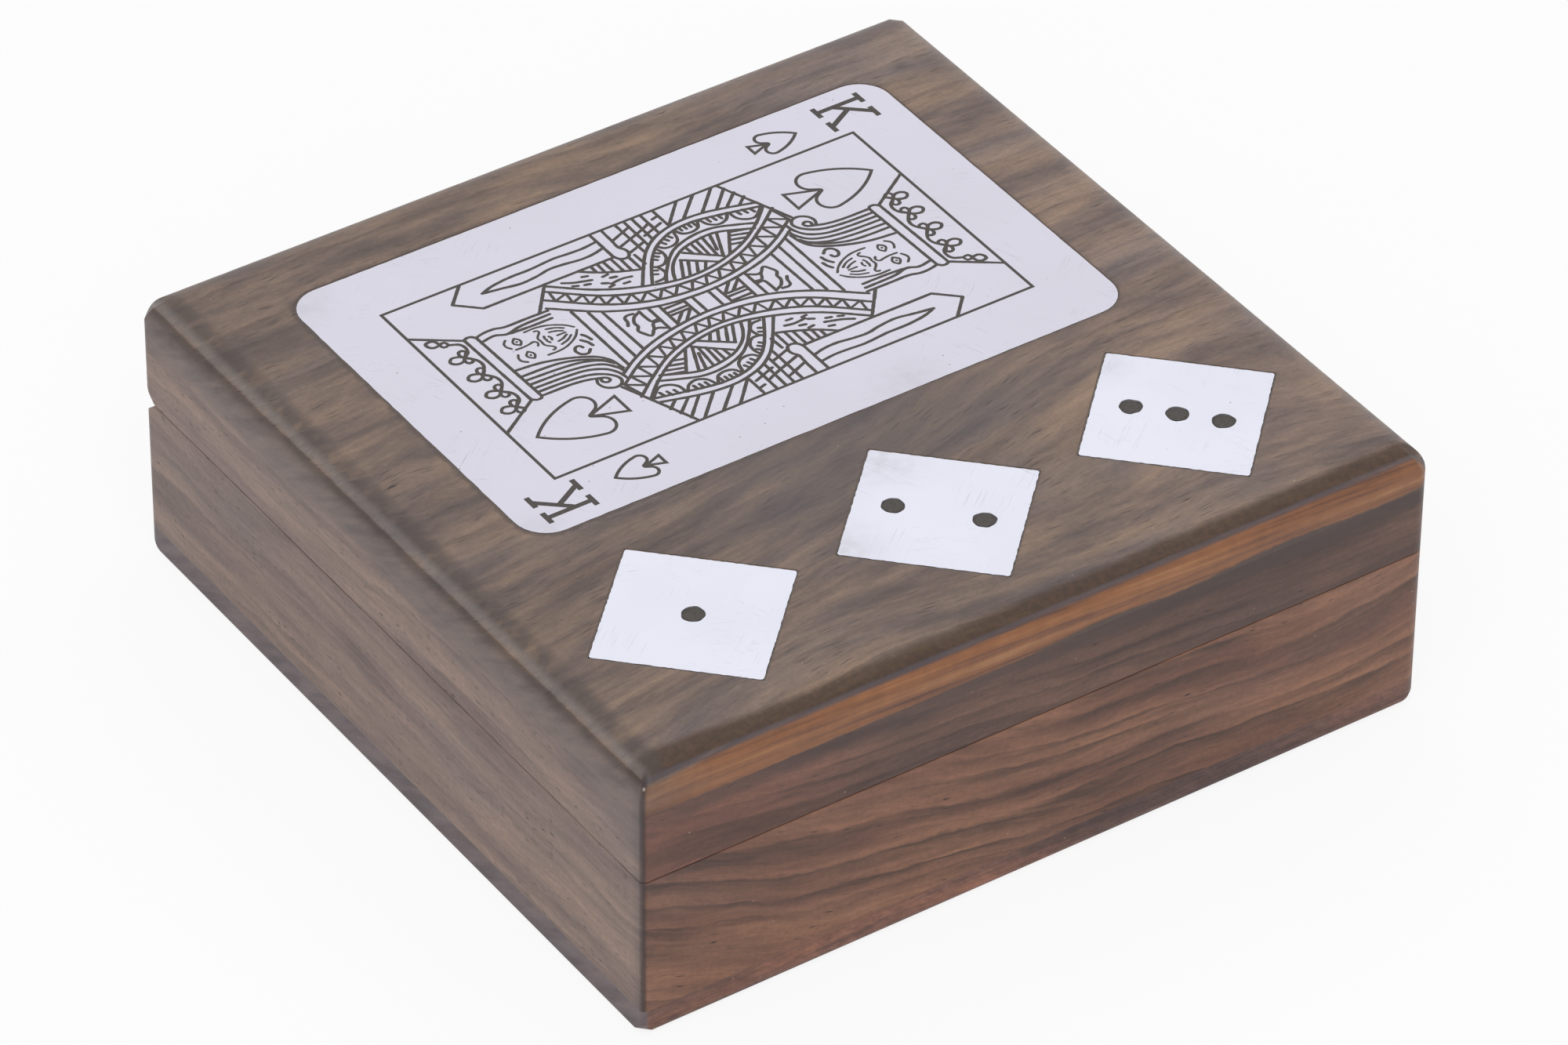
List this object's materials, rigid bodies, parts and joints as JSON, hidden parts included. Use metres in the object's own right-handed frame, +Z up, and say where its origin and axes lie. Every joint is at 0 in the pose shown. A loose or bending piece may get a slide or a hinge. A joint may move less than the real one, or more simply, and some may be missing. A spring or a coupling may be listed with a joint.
{
  "type": "dice box with hinged lid",
  "caption": "Square rosewood box with a rounded lid hinged at the back, metal playing card and dice plates let into its top, and a felt lined card well and dice trough.",
  "frame": {"origin": "centre of the underside", "axes": "+X along the front from left to right, +Y from the front to the hinged back, +Z up"},
  "size_m": [0.116, 0.115, 0.04],
  "materials": {
    "wall_wood": "satin lacquer over mid brown rosewood with dark bands",
    "board_wood": "satin lacquer over olive brown rosewood with dark bands",
    "felt": "short napped green felt",
    "inlay_metal": "satin, fine scratches",
    "dark_filler": "dull dark brown filler",
    "hinge_brass": "satin, slightly tarnished",
    "screw_brass": "bright",
    "pin_steel": "dull"
  },
  "bodies": {
    "base": {"base_front_wall": "wall_wood", "base_back_wall": "wall_wood", "base_left_wall": "wall_wood", "base_right_wall": "wall_wood", "bottom_board": "board_wood", "tray_divider": "wall_wood", "card_well_lining": "felt", "dice_trough_lining": "felt", "left_hinge_base_leaf": "hinge_brass", "right_hinge_base_leaf": "hinge_brass", "left_hinge_pin": "pin_steel", "right_hinge_pin": "pin_steel", "base_hinge_screws": "screw_brass"},
    "lid": {"lid_front_rail": "wall_wood", "lid_back_rail": "wall_wood", "lid_left_rail": "wall_wood", "lid_right_rail": "wall_wood", "top_board": "board_wood", "lid_lining": "felt", "card_plate": "inlay_metal", "one_pip_plate": "inlay_metal", "two_pip_plate": "inlay_metal", "three_pip_plate": "inlay_metal", "inlay_filler": "dark_filler", "pip_fill": "dark_filler", "card_engraving": "dark_filler", "left_hinge_lid_leaf": "hinge_brass", "right_hinge_lid_leaf": "hinge_brass", "lid_hinge_screws": "screw_brass"}
  },
  "joints": [
    {"name": "lid_hinge", "type": "hinge", "parent": "base", "child": "lid", "pos_m": [0, 0.0554, 0.02405], "axis": [-1, 0, 0], "range_deg": [0, 100]}
  ]
}
